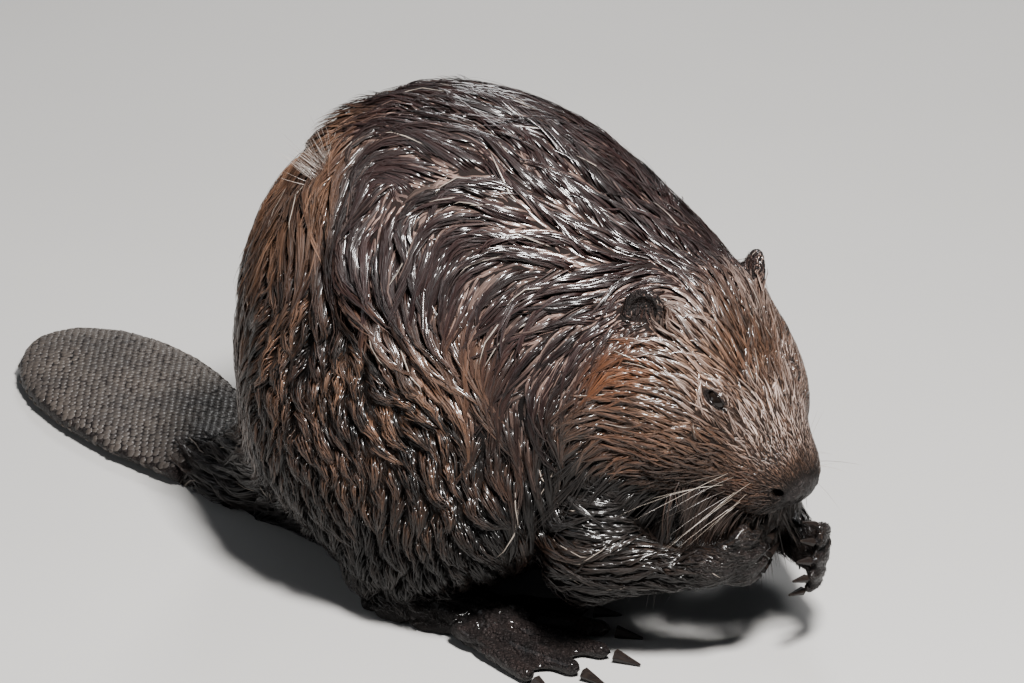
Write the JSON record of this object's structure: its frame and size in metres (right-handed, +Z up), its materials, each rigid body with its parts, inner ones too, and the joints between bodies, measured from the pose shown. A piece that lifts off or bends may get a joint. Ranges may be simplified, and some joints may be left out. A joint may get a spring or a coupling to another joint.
{
  "type": "beaver",
  "caption": "Life-size still model of a wet beaver crouched on its haunches to feed, back arched, head bowed and turned, hands at its mouth, flat tail behind.",
  "frame": {"origin": "middle of the bounding box, on the floor", "axes": "+Z up, +X the way the body faces, +Y to its left"},
  "size_m": [0.6342, 0.3578, 0.3093],
  "materials": {
    "coat": "wet dark brown guard hair in clumped locks",
    "face_coat": "short wet brown hair",
    "bare_skin": "dark wet skin of nose, hands and feet",
    "tail_scales": "dark grey-brown leathery scales",
    "claws": "dark horn",
    "eyes": "wet black-brown"
  },
  "bodies": {
    "root": {"head": "face_coat", "left_ear": "coat", "left_eye": "eyes", "left_forearm": "coat", "left_hand": "bare_skin", "left_hand_claw_1": "claws", "left_hand_claw_2": "claws", "left_hand_claw_3": "claws", "left_hand_claw_4": "claws", "left_hand_claw_5": "claws", "left_hind_claw_1": "claws", "left_hind_claw_2": "claws", "left_hind_claw_3": "claws", "left_hind_claw_4": "claws", "left_hind_claw_5": "claws", "left_hind_foot": "bare_skin", "left_hind_leg": "coat", "left_upper_arm": "coat", "lower_jaw": "face_coat", "neck": "coat", "nose": "bare_skin", "right_ear": "coat", "right_eye": "eyes", "right_forearm": "coat", "right_hand": "bare_skin", "right_hand_claw_1": "claws", "right_hand_claw_2": "claws", "right_hand_claw_3": "claws", "right_hand_claw_4": "claws", "right_hand_claw_5": "claws", "right_hind_claw_1": "claws", "right_hind_claw_2": "claws", "right_hind_claw_3": "claws", "right_hind_claw_4": "claws", "right_hind_claw_5": "claws", "right_hind_foot": "bare_skin", "right_hind_leg": "coat", "right_upper_arm": "coat", "tail": "tail_scales", "tail_base": "coat", "trunk": "coat"}
  },
  "joints": []
}
